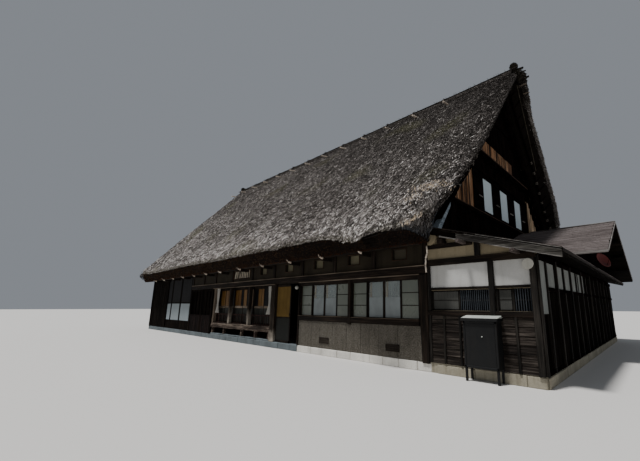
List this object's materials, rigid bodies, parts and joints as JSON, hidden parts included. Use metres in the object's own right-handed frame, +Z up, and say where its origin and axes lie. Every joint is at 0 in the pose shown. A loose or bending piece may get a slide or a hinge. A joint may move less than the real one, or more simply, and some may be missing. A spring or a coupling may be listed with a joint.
{
  "type": "thatched farmhouse with a lean-to annex",
  "caption": "Hollow timber farmhouse with a steep thatched gable roof, sliding entrance and veranda doors, a plastered lean-to and a small cross-gabled annex.",
  "frame": {"origin": "middle of the footprint of the whole building with its roof, on the ground", "axes": "+X along the ridge towards the lean-to, -Y the entrance front, +Z up"},
  "size_m": [27.38, 15, 12.2],
  "materials": {
    "thatch": "weathered reed thatch, matt",
    "ridge_straw": "old dark straw, matt",
    "dark_timber": "smoke-darkened timber",
    "weathered_timber": "sun-bleached timber",
    "brown_board": "brown weathered boards",
    "grey_board": "grey-brown boards",
    "plaster": "white lime plaster",
    "paper": "white window paper",
    "glass": "glazed sashes with white curtains",
    "ochre_panel": "ochre panel in a dark frame",
    "amber_leaf": "glazed leaves with amber and grey panels",
    "stone": "grey stone and concrete",
    "shingle": "brown-grey roofing boards",
    "black_metal": "black painted sheet with a grey lid",
    "dish_red": "faded red-brown paint"
  },
  "bodies": {
    "house": {"plinth_front": "stone", "plinth_back": "stone", "plinth_far": "stone", "plinth_near": "stone", "leanto_base": "stone", "west_floor": "brown_board", "east_floor": "brown_board", "attic_floor": "brown_board", "front_window_wall": "dark_timber", "front_dado": "grey_board", "window_group_near": "glass", "window_group_mid": "glass", "front_lintel": "dark_timber", "front_upper_wall": "dark_timber", "front_upper_shoji": "paper", "front_eave_purlin": "dark_timber", "entrance_post": "dark_timber", "veranda_edge_beam": "weathered_timber", "veranda_post_1": "weathered_timber", "veranda_post_2": "weathered_timber", "veranda_post_3": "weathered_timber", "veranda_railing": "dark_timber", "veranda_fixed_leaves": "amber_leaf", "west_bay_wall": "dark_timber", "west_screen_wall": "dark_timber", "west_board_wall": "dark_timber", "back_wall": "dark_timber", "back_window_group_near": "glass", "back_window_group_far": "glass", "back_eave_purlin": "dark_timber", "near_gable_lower": "dark_timber", "near_gable_middle": "brown_board", "near_gable_upper": "dark_timber", "near_gable_windows": "paper", "far_gable_lower": "dark_timber", "far_gable_middle": "brown_board", "far_gable_upper": "dark_timber", "far_gable_windows": "paper", "thatch_front": "thatch", "thatch_back": "thatch", "ridge_saddle": "ridge_straw", "near_verge_rafter_front": "dark_timber", "near_verge_rafter_back": "dark_timber", "far_verge_rafter_front": "dark_timber", "far_verge_rafter_back": "dark_timber", "leanto_front_wall": "plaster", "leanto_lattice": "dark_timber", "leanto_side_wall": "plaster", "leanto_back_wall": "grey_board", "leanto_roof": "shingle", "utility_cabinet": "black_metal", "annex_roof_front": "shingle", "annex_roof_back": "shingle", "annex_walls": "dark_timber", "receiver_dish": "dish_red"},
    "entrance_door_body": {"entrance_door": "ochre_panel"},
    "veranda_door_1_body": {"veranda_door_1": "amber_leaf"},
    "veranda_door_2_body": {"veranda_door_2": "amber_leaf"},
    "veranda_door_3_body": {"veranda_door_3": "amber_leaf"}
  },
  "joints": [
    {"name": "entrance_door_slide", "type": "slide", "parent": "house", "child": "entrance_door_body", "axis": [1, 0, 0], "range_m": [0, 0.63]},
    {"name": "veranda_door_1_slide", "type": "slide", "parent": "house", "child": "veranda_door_1_body", "axis": [-1, 0, 0], "range_m": [0, 0.83]},
    {"name": "veranda_door_2_slide", "type": "slide", "parent": "house", "child": "veranda_door_2_body", "axis": [-1, 0, 0], "range_m": [0, 0.83]},
    {"name": "veranda_door_3_slide", "type": "slide", "parent": "house", "child": "veranda_door_3_body", "axis": [-1, 0, 0], "range_m": [0, 0.83]}
  ]
}
